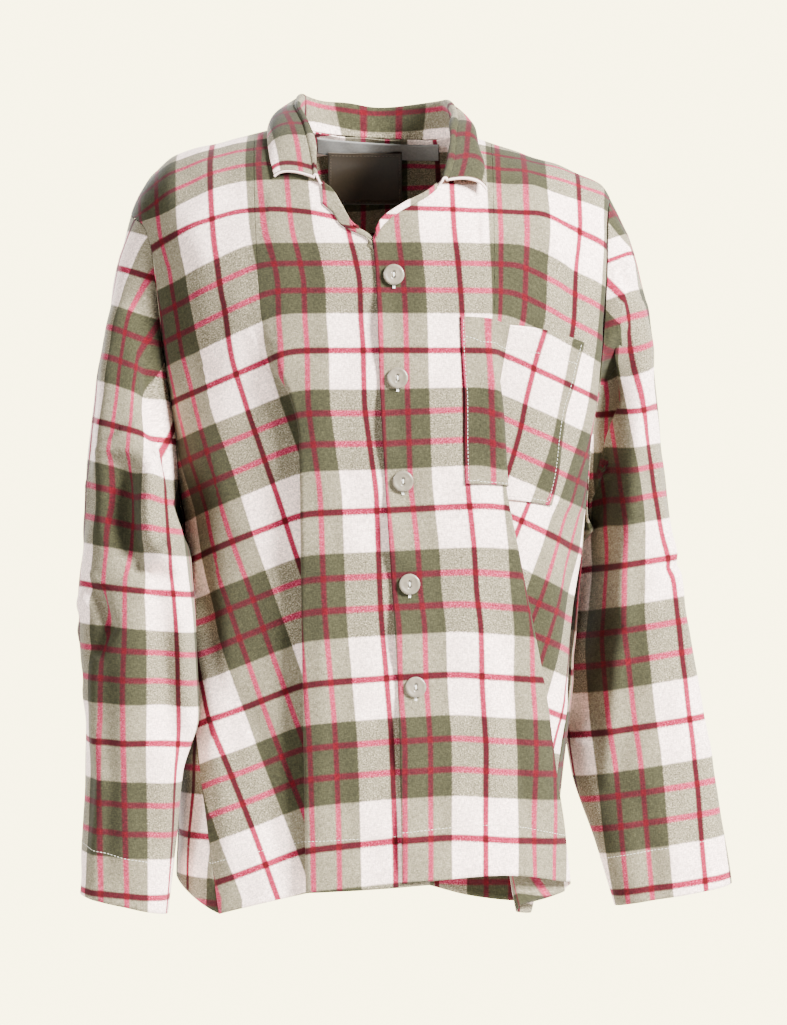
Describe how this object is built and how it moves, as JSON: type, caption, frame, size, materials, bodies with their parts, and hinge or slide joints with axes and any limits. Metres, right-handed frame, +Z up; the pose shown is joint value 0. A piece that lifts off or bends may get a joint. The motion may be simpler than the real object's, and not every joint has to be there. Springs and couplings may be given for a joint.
{
  "type": "pajama top",
  "caption": "Long-sleeved checked flannel pajama top with a turned-down collar, buttoned front and one chest pocket, filled out as if worn and hollow inside.",
  "frame": {"origin": "middle of the neck at the height of the shoulder points, where the wearer carries the garment", "axes": "+Z up along the wearer's height, the front faces -Y, +X towards the wearer's left"},
  "size_m": [0.6156, 0.2495, 0.7792],
  "materials": {
    "flannel": "brushed cotton flannel, olive and cream check with red lines",
    "neck_tape": "self-fabric strip",
    "satin_label": "woven satin, bare",
    "shell_button": "polished shell"
  },
  "bodies": {
    "root": {"back": "flannel", "front_left": "flannel", "front_right": "flannel", "sleeve_left": "flannel", "sleeve_right": "flannel", "collar": "flannel", "neck_tape": "neck_tape", "label": "satin_label", "facing_left": "flannel", "facing_right": "flannel", "pocket": "flannel", "button_1": "shell_button", "button_2": "shell_button", "button_3": "shell_button", "button_4": "shell_button", "button_5": "shell_button"}
  },
  "joints": []
}
